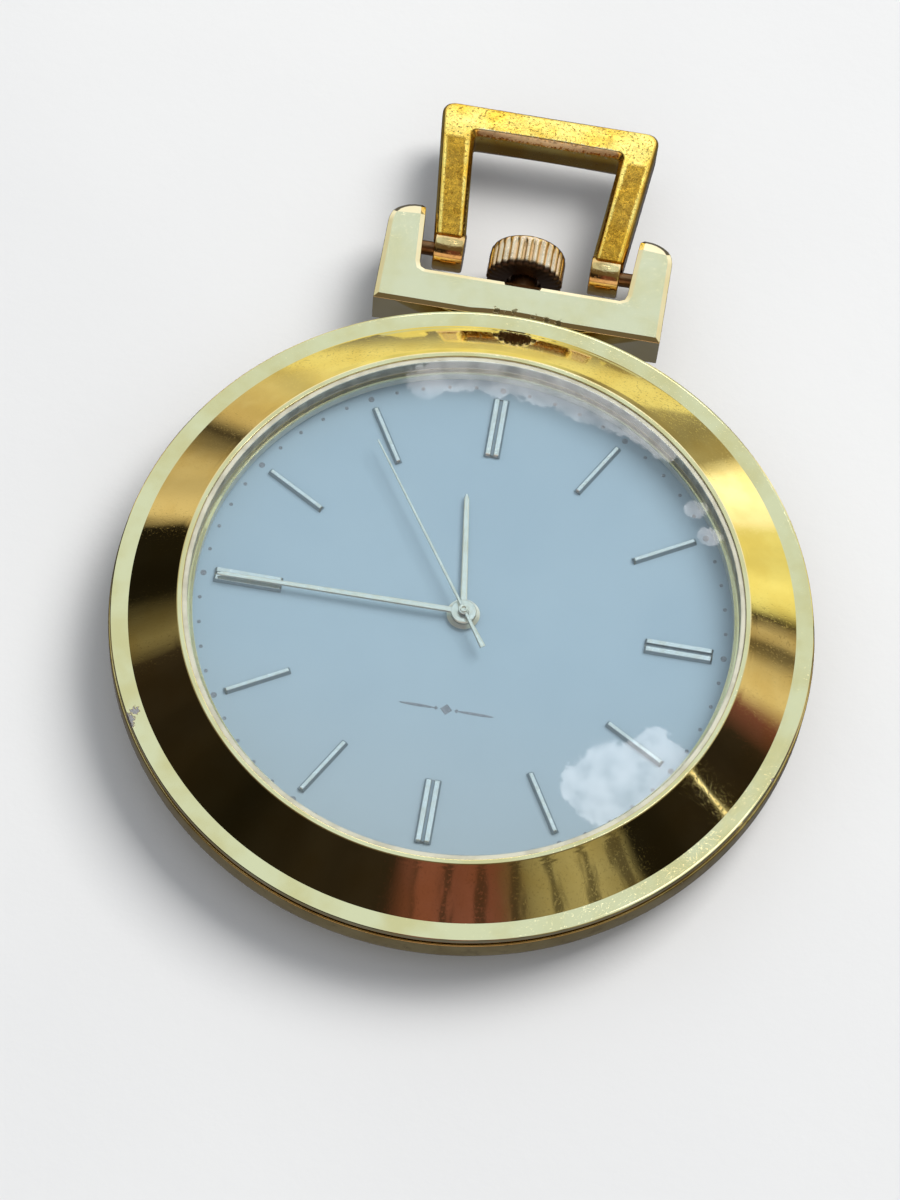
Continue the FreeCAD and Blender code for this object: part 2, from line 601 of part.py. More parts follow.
def baton(width, groove):
    bar = box(-width / 2, width / 2, baton_in, baton_out, dial_top, dial_top + baton_t)
    bar = bar.makeChamfer(baton_edge, [e for e in bar.Edges if e.BoundBox.ZMin > dial_top + baton_t / 2])
    if groove:
        bar = bar.cut(box(-cut_w / 2, cut_w / 2, 0, 2 * baton_out, dial_top + baton_t - cut_d, lip_z))
    return bar


save("hour_markers", Part.makeCompound([spun(baton(baton_w, False), 30 * k) for k in range(12) if k % 3]))
save("quarter_markers", Part.makeCompound([spun(baton(quarter_w, True), 90 * k) for k in range(4)]))


# ---- hands ----
def hand(length, tail, widths, hub_r, z0, bore_r, clock_angle, cap=0.0):
    """A flat blade with a hub; widths are those at the tail, the hub and the tip."""
    top = z0 + hand_t
    a, b, c = (width / 2 for width in widths)
    blade = prism([(-a, -tail), (a, -tail), (b, 0), (c, length), (-c, length), (-b, 0)], z0, top)
    body = fused([blade, disc(hub_r, z0, top + cap)])
    return spun(body.cut(disc(bore_r, 0, top)), -clock_angle)


save("hour_hand", hand(hour_len, hour_tail, (0.26, 0.42, 0.3), hour_hub_r, z_hour_hand, hour_tube,
                       clock_hours * 30))
save("minute_hand", hand(minute_len, minute_tail, (0.24, 0.4, 0.28), minute_hub_r, z_minute_hand, cannon_bore,
                         clock_minutes * 6))
save("seconds_hand", hand(seconds_len, seconds_tail, (0.34, 0.2, 0.12), seconds_hub_r, z_seconds_hand,
                          pivot_r, clock_seconds * 6, seconds_cap))
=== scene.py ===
import json
import math

import bmesh
import bpy
from mathutils import Matrix, Vector


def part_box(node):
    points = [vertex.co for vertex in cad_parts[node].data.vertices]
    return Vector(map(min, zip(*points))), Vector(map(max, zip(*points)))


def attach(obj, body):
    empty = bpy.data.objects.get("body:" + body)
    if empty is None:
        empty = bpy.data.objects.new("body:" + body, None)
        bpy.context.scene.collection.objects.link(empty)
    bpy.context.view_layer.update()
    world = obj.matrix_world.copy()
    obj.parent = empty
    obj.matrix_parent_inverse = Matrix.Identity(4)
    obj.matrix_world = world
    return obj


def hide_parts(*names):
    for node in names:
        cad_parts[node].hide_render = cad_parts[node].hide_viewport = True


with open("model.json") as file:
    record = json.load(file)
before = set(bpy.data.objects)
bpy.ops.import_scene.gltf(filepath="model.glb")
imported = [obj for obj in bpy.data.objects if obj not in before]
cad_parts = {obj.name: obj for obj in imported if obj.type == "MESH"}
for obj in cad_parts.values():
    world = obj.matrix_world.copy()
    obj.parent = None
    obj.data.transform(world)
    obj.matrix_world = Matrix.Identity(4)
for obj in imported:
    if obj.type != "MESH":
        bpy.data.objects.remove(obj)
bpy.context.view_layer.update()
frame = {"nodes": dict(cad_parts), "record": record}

# ======================================================================================
# Bezel: one turned brass ring with a flat rim, a steep polished bevel and a thin lip round
# the crystal. It is gold plated and polished, and nicked at 8 o'clock.
# ======================================================================================
MM = 0.001


class Wire:
    """A socket of a node tree. Arithmetic on it adds Math nodes."""

    def __init__(self, tree, socket):
        self.tree, self.socket = tree, socket

    def math(self, how, *others):
        node = self.tree.nodes.new("ShaderNodeMath")
        node.operation = how
        for slot, value in zip(node.inputs, (self,) + others):
            plug(self.tree, value, slot)
        return Wire(self.tree, node.outputs[0])

    def flipped(self, how, other):
        node = self.tree.nodes.new("ShaderNodeMath")
        node.operation = how
        node.inputs[0].default_value = other
        plug(self.tree, self, node.inputs[1])
        return Wire(self.tree, node.outputs[0])

    def __add__(self, other):
        return self.math("ADD", other)

    def __mul__(self, other):
        return self.math("MULTIPLY", other)

    def __sub__(self, other):
        return self.math("SUBTRACT", other)

    def __rsub__(self, other):
        return self.flipped("SUBTRACT", other)

    def __truediv__(self, other):
        return self.math("DIVIDE", other)

    def __pow__(self, other):
        return self.math("POWER", other)

    __radd__, __rmul__ = __add__, __mul__


def plug(tree, value, slot):
    if isinstance(value, Wire):
        tree.links.new(value.socket, slot)
    elif hasattr(slot.default_value, "__len__") and len(value) == 3 and len(slot.default_value) == 4:
        slot.default_value = (*value, 1.0)
    else:
        slot.default_value = value


class Finish:
    """A material built from nodes. Its shader is one Principled BSDF."""

    def __init__(self, name, world=None):
        self.owner = world or bpy.data.materials.new(name)
        self.owner.use_nodes = True
        self.tree = self.owner.node_tree
        self.tree.nodes.clear()
        self.place = None

    def add(self, kind, settings=None, inputs=None, out=0):
        node = self.tree.nodes.new("ShaderNode" + kind)
        for key, value in (settings or {}).items():
            if key == "stops":
                while len(node.color_ramp.elements) < len(value):
                    node.color_ramp.elements.new(0.5)
                for stop, (at, shade) in zip(node.color_ramp.elements, value):
                    stop.position, stop.color = at, (*shade, 1)
            else:
                setattr(node, key, value)
        for key, value in (inputs or {}).items():
            plug(self.tree, value, node.inputs[key])
        return Wire(self.tree, node.outputs[out])

    def spot(self):
        """The point on the piece, in metres from the middle of the case back."""
        if self.place is None:
            self.place = self.add("TexCoord", out="Object")
        return self.place

    def noise(self, size_mm, detail=2.0, rough=0.5, stretch=None, turn=0.0):
        """Noise whose blotches are about size_mm across; stretch makes them long and thin."""
        at = self.spot()
        if stretch:
            at = self.add("Mapping", None, {"Vector": at, "Rotation": (0, 0, turn), "Scale": stretch})
        return self.add("TexNoise", None, {"Vector": at, "Scale": 1 / (size_mm * MM), "Detail": detail,
                                           "Roughness": rough})

    def ramp(self, value, low, high, dark=0.0, light=1.0):
        return self.add("MapRange", {"clamp": True, "interpolation_type": "SMOOTHSTEP"},
                        {"Value": value, "From Min": low, "From Max": high, "To Min": dark, "To Max": light})

    def near(self, point_mm, inside, outside, wobble=None):
        """1 close to a point and 0 away from it, distances in mm."""
        far = self.add("VectorMath", {"operation": "DISTANCE"},
                       {0: self.spot(), 1: [c * MM for c in point_mm]}, out="Value") / MM
        if wobble:
            far = far + wobble
        return self.ramp(far, inside, outside, 1.0, 0.0)

    def blend(self, share, a, b):
        """Colour a where share is 0, b where it is 1. A Mix node's colours are its inputs 6 and 7."""
        return self.add("Mix", {"data_type": "RGBA"}, {"Factor": share, 6: a, 7: b}, out=2)

    def axis(self, which):
        """The distance along X (0), Y (1) or Z (2), in mm."""
        return self.add("SeparateXYZ", None, {0: self.spot()}, out=which) / MM

    def parts(self, vector):
        return [self.add("SeparateXYZ", None, {0: vector}, out=which) for which in range(3)]

    def bump(self, height, depth_mm, strength=1.0):
        return self.add("Bump", None, {"Height": height, "Distance": depth_mm * MM, "Strength": strength})

    def close(self, **sockets):
        """Ends the material in a Principled BSDF. Underscores in names stand for spaces."""
        inputs = {key.replace("_", " "): value for key, value in sockets.items()}
        return self.surface(self.add("BsdfPrincipled", None, inputs))

    def glow(self, colour):
        """Ends the material in an Emission shader of strength 1."""
        return self.surface(self.add("Emission", None, {"Color": colour, "Strength": 1.0}))

    def surface(self, shader, kind="Material"):
        output = self.tree.nodes.new("ShaderNodeOutput" + kind)
        plug(self.tree, shader, output.inputs["Surface"])
        return self.owner


def plated(name, bright, deep, gloss, pitting=0.0, rubbed=(), bare=(0.30, 0.27, 0.26), grime=0.0,
           painted_shade=None):
    """Gold plate over brass: slow colour drift, hairlines, pits, bare spots where it is rubbed
    through, and a painted shade that fades out between two distances along Y."""
    f = Finish(name)
    drift = f.ramp(f.noise(3.0, 3.0), 0.35, 0.7)
    hair = f.ramp(f.noise(2.6, 1.0, 0.5, (1, 60, 1), 0.7), 0.70, 0.76)
    hair = hair.math("MAXIMUM", f.ramp(f.noise(3.4, 1.0, 0.5, (80, 1, 1), 0.3), 0.72, 0.78))
    pits = f.ramp(f.noise(0.16, 3.0, 0.65), 0.56, 0.74)
    colour = f.blend(drift, bright, deep)
    colour = f.blend(pits * pitting * 0.55, colour, [c * 0.42 for c in deep])
    rough = drift * 0.02 + hair * 0.02 + pits * pitting * 0.28 + gloss
    if grime:
        dirt = f.ramp(f.noise(0.8, 4.0, 0.7), 0.5, 0.68) * grime
        colour = f.blend(dirt, colour, (0.16, 0.085, 0.03))
        rough = rough + dirt * 0.25
    # Painted shade: the piece is darkened below the first distance along Y, fading out by the second.
    if painted_shade:
        dark = f.ramp(f.axis(1) + (f.noise(0.4, 3.0) - 0.5) * 0.3, painted_shade[0], painted_shade[1], 0.92, 0.0)
        colour = f.blend(dark, colour, (0.05, 0.022, 0.015))
        rough = rough + dark * 0.3
    worn = None
    ragged = (f.noise(0.3, 3.0, 0.7) - 0.5) * 1.1
    for point, radius in rubbed:
        patch = f.near(point, radius * 0.75, radius, ragged)
        worn = patch if worn is None else worn.math("MAXIMUM", patch)
    if worn is not None:
        colour = f.blend(worn, colour, bare)
        rough = rough + worn * 0.35
    dents = pits * (-pitting) + hair * -0.012 + f.noise(5.0, 1.0) * 0.4
    if worn is not None:
        dents = dents + worn * -1.2
    return f.close(Base_Color=colour, Metallic=1.0, Roughness=rough, Normal=f.bump(dents, 0.012))


def span(node):
    """Lowest and highest corner of a CAD node, in mm."""
    low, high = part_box(node)
    return low / MM, high / MM


def piece(name, verts, faces, material, body, node=None, slot=None, crease=32, tidy=0.0):
    """Makes a mesh from points in mm, gives it its material and hands it to its CAD body."""
    bm = bmesh.new()
    points = [bm.verts.new(Vector(v) * MM) for v in verts]
    for face in faces:
        bm.faces.new([points[i] for i in face])
    bmesh.ops.remove_doubles(bm, verts=bm.verts, dist=1e-7)
    bmesh.ops.dissolve_degenerate(bm, edges=bm.edges, dist=1e-7)
    bmesh.ops.recalc_face_normals(bm, faces=bm.faces)
    mesh = bpy.data.meshes.new(name)
    bm.to_mesh(mesh)
    bm.free()
    for polygon in mesh.polygons:
        polygon.use_smooth = True
    mesh.set_sharp_from_angle(angle=math.radians(crease))
    mesh.materials.append(material)
    obj = bpy.data.objects.new(name, mesh)
    bpy.context.scene.collection.objects.link(obj)
    if tidy:
        soften = obj.modifiers.new("soft edges", "BEVEL")
        soften.width, soften.segments, soften.limit_method = tidy * MM, 3, "ANGLE"
        soften.angle_limit = math.radians(24)
        soften.harden_normals = False
    weigh = obj.modifiers.new("flat faces stay flat", "WEIGHTED_NORMAL")
    weigh.keep_sharp = True
    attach(obj, body)
    if node:
        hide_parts(node)
    return obj


def eased(corners, steps=4):
    """Rounds the corners (r, z, radius) of a closed outline; radius 0 keeps a corner sharp."""
    out = []
    for i, (r, z, radius) in enumerate(corners):
        here = Vector((r, z))
        if not radius:
            out.append(here)
            continue
        before = Vector(corners[i - 1][:2]) - here
        after = Vector(corners[(i + 1) % len(corners)][:2]) - here
        a, b = here + before.normalized() * radius, here + after.normalized() * radius
        for k in range(steps + 1):
            t = k / steps
            out.append(a * (1 - t) ** 2 + here * 2 * t * (1 - t) + b * t * t)
    return out


def turned(name, corners, material, body, node=None, slot=None, around=384, crease=50):
    """A ring or disc turned about the axis through the dial, from corners (r, z, rounding) in mm."""
    outline = eased(corners)
    count = len(outline)
    verts = [(p.x * math.sin(2 * math.pi * k / around), p.x * math.cos(2 * math.pi * k / around), p.y)
             for k in range(around) for p in outline]
    faces = []
    for k in range(around):
        a, b = k * count, (k + 1) % around * count
        for i in range(count):
            j = (i + 1) % count
            if outline[i].x < 1e-6 and outline[j].x < 1e-6:
                continue
            faces.append((a + i, a + j, b + j, b + i))
    kept = []
    for face in faces:
        spots = {tuple(round(c, 7) for c in verts[i]) for i in face}
        if len(spots) == 4:
            kept.append(face)
        elif len(spots) == 3:
            seen, three = set(), []
            for i in face:
                spot = tuple(round(c, 7) for c in verts[i])
                if spot not in seen:
                    seen.add(spot)
                    three.append(i)
            kept.append(tuple(three))
    return piece(name, verts, kept, material, body, node, slot, crease)


bezel_high = span("bezel")[1]
rim_z = span("bow_bracket")[1].z
rim_r, lip_z = bezel_high.x, bezel_high.z
under_rim = rim_z - 0.4
bevel_foot_r, bevel_top_r, lip_w = 19.92, 17.0, 0.3
glass_low, glass_high = span("crystal_gasket")
seat_r = bevel_top_r - lip_w
wall_r = span("dial")[1].x + 0.1
pale_gold, deep_gold = (0.98, 0.86, 0.50), (0.90, 0.74, 0.36)
knocks = [((-18.2, -10.5, rim_z), 0.50), ((-17.9, -9.9, rim_z), 0.30), ((19.6, -7.5, rim_z), 0.10)]
bezel_gold = plated("polished gold plate", pale_gold, deep_gold, 0.04, 0.06, knocks, (0.52, 0.46, 0.44))
bevel = [(bevel_foot_r + (bevel_top_r - bevel_foot_r) * t + 0.012 * t * (1 - t),
          rim_z + (lip_z - rim_z) * t + 0.02 * t * (1 - t), 0)
         for t in (0, 0.1, 0.25, 0.4, 0.55, 0.7, 0.85, 0.97)]
turned("bezel", [
    (seat_r - 0.6, glass_low.z - 0.2, 0), (wall_r, glass_low.z - 0.2, 0), (wall_r, under_rim, 0),
    (rim_r, under_rim, 0.08), (rim_r, rim_z, 0.12), (rim_r - 0.2, rim_z, 0)] + bevel + [
    (bevel_top_r - 0.03, lip_z, 0.03), (seat_r, lip_z, 0.05), (seat_r, glass_low.z,
                                                               0), (seat_r - 0.6, glass_low.z, 0.03)],
    bezel_gold, "case", "bezel", "gold", crease=22)

# ======================================================================================
# Mid case and snap-on back: drawn brass, plated like the bezel. A dark joint line runs under
# the rim; the side band is satin from handling, and the back is rubbed by the table.
# ======================================================================================
band_low, band_high = span("mid_case")
band_r = band_high.x
band_gold = plated("side band gold", (0.86, 0.70, 0.33), (0.70, 0.54, 0.22), 0.13, 0.35, grime=0.25)
turned("mid_case", [
    (18.2, band_low.z, 0), (20.3, band_low.z, 0.1), (20.78, 1.7, 0.12), (band_r, 2.3, 0.3),
    (band_r, under_rim - 0.2, 0.1), (rim_r - 0.45, under_rim - 0.2, 0), (rim_r - 0.45, under_rim, 0),
    (18.2, under_rim, 0)], band_gold, "case", "mid_case", "gold")


def back_gold():
    """Plate turned on a lathe: fine circles about the middle, with a rubbed centre."""
    f = Finish("turned gold back")
    x, y = f.axis(0), f.axis(1)
    radius = (x * x + y * y).math("SQRT")
    rings = (radius * 42.0 + f.noise(2.0) * 3.0).math("SINE") * 0.5 + 0.5
    rubbed = f.ramp(f.noise(4.0, 4.0, 0.65), 0.46, 0.66) * f.ramp(radius, 14.5, 16.0, 1.0, 0.15)
    scrape = f.ramp(f.noise(1.4, 3.0, 0.6, (1, 30, 1), 1.1), 0.62, 0.72)
    colour = f.blend(rubbed * 0.6 + scrape * 0.2, (0.93, 0.76, 0.38), (0.72, 0.56, 0.30))
    rough = rings * 0.05 + rubbed * 0.16 + scrape * 0.15 + 0.12
    return f.close(Base_Color=colour, Metallic=1.0, Roughness=rough,
                   Normal=f.bump(rings * 0.3 - scrape * 0.8, 0.006))


back_r, back_joint_z = 20.3, band_low.z
turned("case_back", [
    (0, 0, 0), (14.2, 0, 0), (14.35, 0.06, 0), (14.5, 0.0, 0), (15.0, 0, 0.3), (16.8, 0.12, 0.3),
    (18.4, 0.48, 0.3), (19.5, 0.95, 0.3), (back_r, back_joint_z,
                                           0.05), (17.85, back_joint_z, 0), (14.8, 0.45, 0),
    (0, 0.45, 0)], back_gold(), "case", "case_back", "gold")

# ======================================================================================
# Crystal and its ring: a mineral glass disc, ground slightly domed, pressed into a clear
# nylon ring that shows as a pale line inside the lip.
# ======================================================================================
crystal_low, crystal_high = span("crystal")
crystal_r = crystal_high.x
dome_rise = 0.4
dome_r = (crystal_r ** 2 + dome_rise ** 2) / (2 * dome_rise)


def clear_glass():
    """Seen straight through, with a mirror coat that grows edge on and a few faint hairlines."""
    f = Finish("mineral glass")
    hair = f.ramp(f.noise(1.6, 2.0, 0.6, (1, 40, 1), 0.5), 0.67, 0.73)
    smear = f.ramp(f.noise(6.0, 3.0, 0.6), 0.45, 0.75)
    edge_on = f.add("LayerWeight", None, {"Blend": 0.5}, out=1)
    shine = edge_on * edge_on * edge_on * edge_on * edge_on * 0.93 + 0.064
    coat = f.add("BsdfPrincipled", None, {"Base Color": (1, 1, 1), "Metallic": 1.0,
                                          "Roughness": hair * 0.10 + smear * 0.02 + 0.01})
    through = f.add("BsdfTransparent", None, {"Color": (0.96, 0.98, 0.99)})
    return f.surface(f.add("MixShader", None, {0: shine + hair * 0.02 + smear * 0.006, 1: through, 2: coat}))


dome_steps = [crystal_r * k / 24 for k in range(25)]
dome = [(r, lip_z + dome_rise - dome_r + math.sqrt(dome_r ** 2 - r ** 2), 0) for r in dome_steps]
turned("crystal", dome + [(crystal_r, crystal_low.z, 0.1), (0, crystal_low.z, 0)], clear_glass(), "case",
       "crystal", "crystal")


def ring_finish(name, pale, dark, rough, metal):
    f = Finish(name)
    tone = f.ramp(f.noise(1.1, 3.0), 0.35, 0.7)
    grain = f.noise(0.12, 2.0)
    return f.close(Base_Color=f.blend(tone, pale, dark), Roughness=grain * 0.1 + rough, Metallic=metal,
                   Normal=f.bump(grain, 0.01))


turned("crystal_gasket", [
    (crystal_r, glass_low.z, 0), (seat_r, glass_low.z, 0), (seat_r, glass_high.z, 0.03),
    (crystal_r, glass_high.z, 0.05)],
    ring_finish("clear nylon", (0.60, 0.58, 0.46), (0.46, 0.44, 0.34), 0.35, 0.0),
    "case", "crystal_gasket", "clear_gasket")
ring_low, ring_high = span("dial_ring")
turned("dial_ring", [
    (seat_r - 0.6, ring_low.z + 0.35, 0.03), (seat_r - 0.35, ring_low.z, 0), (ring_high.x, ring_low.z, 0),
    (ring_high.x, ring_high.z, 0), (seat_r - 0.6, ring_high.z, 0)],
    ring_finish("gilt dial ring", (0.62, 0.60, 0.50), (0.52, 0.50, 0.42), 0.3,
                0.6), "case", "dial_ring", "dial_ring")

# ======================================================================================
# Dial: a brass disc with a fine satin silver coat. The minute dots and the small rule
# under the centre are printed in grey; the print stands a few hundredths proud.
# ======================================================================================
dial_low, dial_high = span("dial")
dial_z = dial_high.z
dial_hole = 0.86


def silvered():
    f = Finish("silvered dial")
    grain = f.noise(0.07, 2.0, 0.6)
    brushed = f.noise(0.5, 2.0, 0.6, (1, 14, 1), 0.2)
    cloud = f.ramp(f.noise(7.0, 2.0), 0.3, 0.75)
    # Painted reflection: the blue tint stands for mirrored sky, and towards 6 o'clock it gives way to a
    # painted grey.
    colour = f.blend(cloud, (0.356, 0.462, 0.531), (0.334, 0.440, 0.513))
    colour = f.blend(f.ramp(f.axis(1), -16.0, 0.0, 0.6, 0.0), colour, (0.38, 0.43, 0.45))
    return f.close(Base_Color=colour, Metallic=0.12, Roughness=brushed * 0.08 + grain * 0.05 + 0.36,
                   Normal=f.bump(grain + brushed * 0.6, 0.003))


turned("dial", [(dial_hole, dial_low.z, 0), (dial_high.x, dial_low.z, 0), (dial_high.x, dial_z, 0.04),
                (dial_hole, dial_z, 0.03)], silvered(), "case", "dial", "dial")


def printed():
    f = Finish("dial print")
    patchy = f.ramp(f.noise(0.09, 2.0), 0.3, 0.75)
    return f.close(Base_Color=f.blend(patchy, (0.13, 0.14, 0.16), (0.26, 0.28, 0.31)),
                   Roughness=patchy * 0.2 + 0.5,
                   Normal=f.bump(patchy, 0.004))


print_t = 0.012
minute_ring_r = 15.72
dots_v, dots_f = [], []


def printed_spot(x, y, wide, tall, turn=0.0, sides=12):
    """A small flat printed shape: an ellipse, or a lozenge with four sides."""
    start = len(dots_v)
    for level in (dial_z - print_t, dial_z + print_t):
        for k in range(sides):
            a = 2 * math.pi * k / sides
            u, v = wide * math.cos(a), tall * math.sin(a)
            dots_v.append((x + u * math.cos(turn) - v * math.sin(turn),
                           y + u * math.sin(turn) + v * math.cos(turn),
                           level))
    dots_f.append([start + sides + k for k in range(sides)])
    for k in range(sides):
        dots_f.append([start + k, start + (k + 1) % sides, start + sides + (k + 1) % sides,
                       start + sides + k])


for minute in range(60):
    a = math.radians(6 * minute)
    size = 0.19 if minute % 5 == 0 else 0.12
    printed_spot(minute_ring_r * math.sin(a), minute_ring_r * math.cos(a), size, size)
mark_y = -6.3
printed_spot(0, mark_y, 0.36, 0.36, sides=4)
for side in (-1, 1):
    printed_spot(side * 1.75, mark_y, 1.1, 0.09)
    printed_spot(side * 0.62, mark_y, 0.14, 0.14, sides=4)
piece("dial_print", dots_v, dots_f, printed(), "case", None, "dial")

# ======================================================================================
# Hour batons: bars with sloped ends, polished on top, with a dark grey painted shade on the sides,
# pinned through the dial. Those at 12, 3, 6 and 9 are double, with a cut down the middle.
# ======================================================================================
baton_in, baton_out, baton_h = 10.95, 15.05, span("hour_markers")[1].z - dial_z
SINGLE = [(-0.5, 0), (-0.5, 0.1), (-0.2, 1), (0.2, 1), (0.5, 0.1), (0.5, 0)]
DOUBLE = [(-0.5, 0), (-0.5, 0.1), (-0.38, 1), (-0.12, 1), (-0.08, 0.4), (0.08, 0.4), (0.12, 1), (0.38, 1),
          (0.5, 0.1), (0.5, 0)]


def polished_trim(name, bright, deep, gloss, top=None):
    """Polished on top; below top, a height in mm, the sides get a dark grey painted shade."""
    f = Finish(name)
    tone = f.ramp(f.noise(0.6, 3.0), 0.35, 0.7)
    line = f.ramp(f.noise(0.25, 2.0, 0.6, (1, 12, 1), 0.4), 0.55, 0.8)
    colour = f.blend(tone, bright, deep)
    if top:
        # Painted shade: below the top, the sides are blended to dark grey.
        colour = f.blend(f.ramp(f.axis(2), top - 0.06, top - 0.015, 0.82, 0.0), colour, (0.16, 0.19, 0.22))
    return f.close(Base_Color=colour, Metallic=1.0, Roughness=tone * 0.05 + line * 0.08 + gloss,
                   Normal=f.bump(tone + line * 0.4, 0.004))


def batons(name, hours, width, section):
    verts, faces = [], []
    ends = ((baton_in, 0.0), (baton_in + 0.12, 1.0), (baton_out - 0.12, 1.0), (baton_out, 0.0))
    for hour in hours:
        a = math.radians(30 * hour)
        start, n = len(verts), len(section)
        for along, full in ends:
            for u, v in section:
                x, height = u * width, v * baton_h * (1 if full else 0.55)
                verts.append((along * math.sin(a) + x * math.cos(a), along * math.cos(a) - x * math.sin(a),
                              dial_z + height))
        for k in range(len(ends) - 1):
            for i in range(n):
                j = (i + 1) % n
                faces.append([start + k * n + i, start + k * n + j, start + (k + 1) * n + j,
                              start + (k + 1) * n + i])
        faces.append([start + i for i in range(n)])
        faces.append([start + (len(ends) - 1) * n + i for i in range(n)])
    return verts, faces


trim = polished_trim("pale gold trim", (0.96, 0.94, 0.88), (0.88, 0.84, 0.74), 0.09, dial_z + baton_h)
for name, hours, width, section in (("hour_markers", [h for h in range(12) if h % 3], 0.46, SINGLE),
                                    ("quarter_markers", [0, 3, 6, 9], 1.0, DOUBLE)):
    piece(name, *batons(name, hours, width, section), trim, "case", name, "marker", crease=15)

# ======================================================================================
# Hands: stamped brass, gilt and polished, each with bevelled edges, pressed on
# the hour wheel, the cannon pinion and the seconds arbor. They read 11:44:54.
# ======================================================================================
hand_gold = polished_trim("gilt hands", (1.0, 0.98, 0.86), (0.96, 0.91, 0.74), 0.28)


def hand(name, body, clock_angle, stations, hub):
    """A flat blade with bevelled edges through stations (distance, half width), and a turned hub."""
    low = span(name)[0].z
    thick = 0.12
    a = math.radians(clock_angle)
    verts, faces = [], []
    section = ((-1, 0), (-1, 0.7), (-0.7, 0.9), (0.7, 0.9), (1, 0.7), (1, 0))
    n = len(section)
    for along, half in stations:
        for u, v in section:
            x = u * half
            verts.append((along * math.sin(a) + x * math.cos(a), along * math.cos(a) - x * math.sin(a),
                          low + v * thick))
    for k in range(len(stations) - 1):
        for i in range(n):
            j = (i + 1) % n
            faces.append([k * n + i, k * n + j, (k + 1) * n + j, (k + 1) * n + i])
    faces += [list(range(n)), [(len(stations) - 1) * n + i for i in range(n)]]
    around = 48
    start = len(verts)
    for r, z in hub:
        for k in range(around):
            b = 2 * math.pi * k / around
            verts.append((r * math.sin(b), r * math.cos(b), low + z))
    for i in range(len(hub) - 1):
        for k in range(around):
            m = (k + 1) % around
            quad = [start + i * around + k, start + i * around + m, start + (i + 1) * around + m,
                    start + (i + 1) * around + k]
            faces.append(quad if hub[i + 1][0] else quad[:2] + [start + (i + 1) * around])
    return piece(name, verts, faces, hand_gold, body, name, "hand", crease=15)


seconds_now = 54.4
minutes_now = 44 + seconds_now / 60
hours_now = 11 + minutes_now / 60
hand("hour_hand", "hours", hours_now * 30, ((-0.7, 0.13), (0, 0.21), (7.8, 0.15), (8.1, 0.06)),
     [(1.0, 0.0), (1.0, 0.02), (0.76, 0.12), (0, 0.12)])
hand("minute_hand", "minutes", minutes_now * 6, ((-0.6, 0.12), (0, 0.2), (14.5, 0.14), (14.85, 0.05)),
     [(0.78, 0.0), (0.78, 0.08), (0.73, 0.12), (0, 0.12)])
hand("seconds_hand", "seconds", seconds_now * 6, ((-2.7, 0.17), (-0.6, 0.1), (0, 0.09), (12.5, 0.05)),
     [(0.34, 0.0), (0.34, 0.1), (0.31, 0.12), (0.24, 0.12), (0.22, 0.22), (0.13, 0.22), (0.11, 0.13),
      (0, 0.13)])

# ======================================================================================
# Bracket: a square yoke of the same plated brass, soldered flush with the rim at 12 o'clock.
# Its two ears hold the bow's pins; their tops slope back and their outer corners are cut.
# ======================================================================================
bracket_low, bracket_high = span("bow_bracket")
half_w, bar_y, bar_top, ear_top = bracket_high.x, 20.8, 23.4, bracket_high.y
ear_in_low, ear_in_top, ear_face_y, ear_cut, ear_drop = 6.53, 6.83, 27.3, 1.8, 0.45
z0, z1 = bracket_low.z, bracket_high.z


def inset(outline, by):
    """The same closed outline, each side moved inwards by the given distance."""
    moved = []
    for i, here in enumerate(outline):
        into = (Vector(here) - Vector(outline[i - 1])).normalized()
        out = (Vector(outline[(i + 1) % len(outline)]) - Vector(here)).normalized()
        a, b = Vector((-into.y, into.x)), Vector((-out.y, out.x))
        moved.append(Vector(here) + (a + b) / max(0.4, 1 + a.dot(b)) * by)
    return [(p.x, p.y) for p in moved]


def bracket_mesh():
    """Front and back faces stand inside a bright chamfer; the ears' tops drop away past ear_face_y."""
    reach = math.sqrt(case_r ** 2 - bar_y ** 2)
    seam = [(x, math.sqrt(case_r ** 2 - x * x)) for x in (-reach + 2 * reach * k / 12 for k in range(13))]
    lean = (ear_face_y - bar_top) / (ear_top - bar_top)
    round_in = [(ear_in_low + 0.02, bar_top + 0.5), (ear_in_low - 0.10, bar_top + 0.15),
                (ear_in_low - 0.4, bar_top)]
    face_end = math.asin(1 - (ear_top - ear_face_y) / ear_cut)
    turns = [face_end * k / 3 for k in range(4)] + [face_end + (1.36 - face_end) * k / 4 for k in range(1, 5)]
    round_out = [(half_w - ear_cut * (1 - math.cos(a)), ear_top - ear_cut * (1 - math.sin(a))) for a in turns]
    right = ([(half_w, bar_y)] + round_out + [(ear_in_top + 0.25, ear_top), (ear_in_top, ear_top - 0.2),
             (ear_in_low + (ear_in_top - ear_in_low) * lean, ear_face_y)] + round_in)
    first = 4
    outline = right + [(-x, y) for x, y in reversed(right)] + seam
    n = len(outline)
    inner = inset(outline, 0.3)

    def depth(y):
        return max(0.0, (y - ear_face_y) / (ear_top - ear_face_y)) * ear_drop

    def level(points, sign, lower):
        base = z1 if sign < 0 else z0
        return [(x, y, base + sign * (depth(y) + lower)) for x, y in points]

    verts = level(inner, -1, 0.0) + level(outline, -1, 0.13) + level(outline, 1, 0.13) + level(inner, 1, 0.0)
    last = len(right)
    top = list(range(first, last - len(round_in)))
    mirror = [2 * last - 1 - i for i in reversed(top)]
    flat = list(range(first + 1)) + list(range(last - len(round_in) - 1, last + len(round_in) + 1))
    flat += list(range(2 * last - 1 - first, n))
    faces = []
    for start in (0, 3 * n):
        faces += [[i + start for i in ring] for ring in (top, mirror, flat)]
    for ring in range(3):
        faces += [[ring * n + i, ring * n + (i + 1) % n, (ring + 1) * n + (i + 1) % n, (ring + 1) * n + i]
                  for i in range(n)]
    return verts, faces


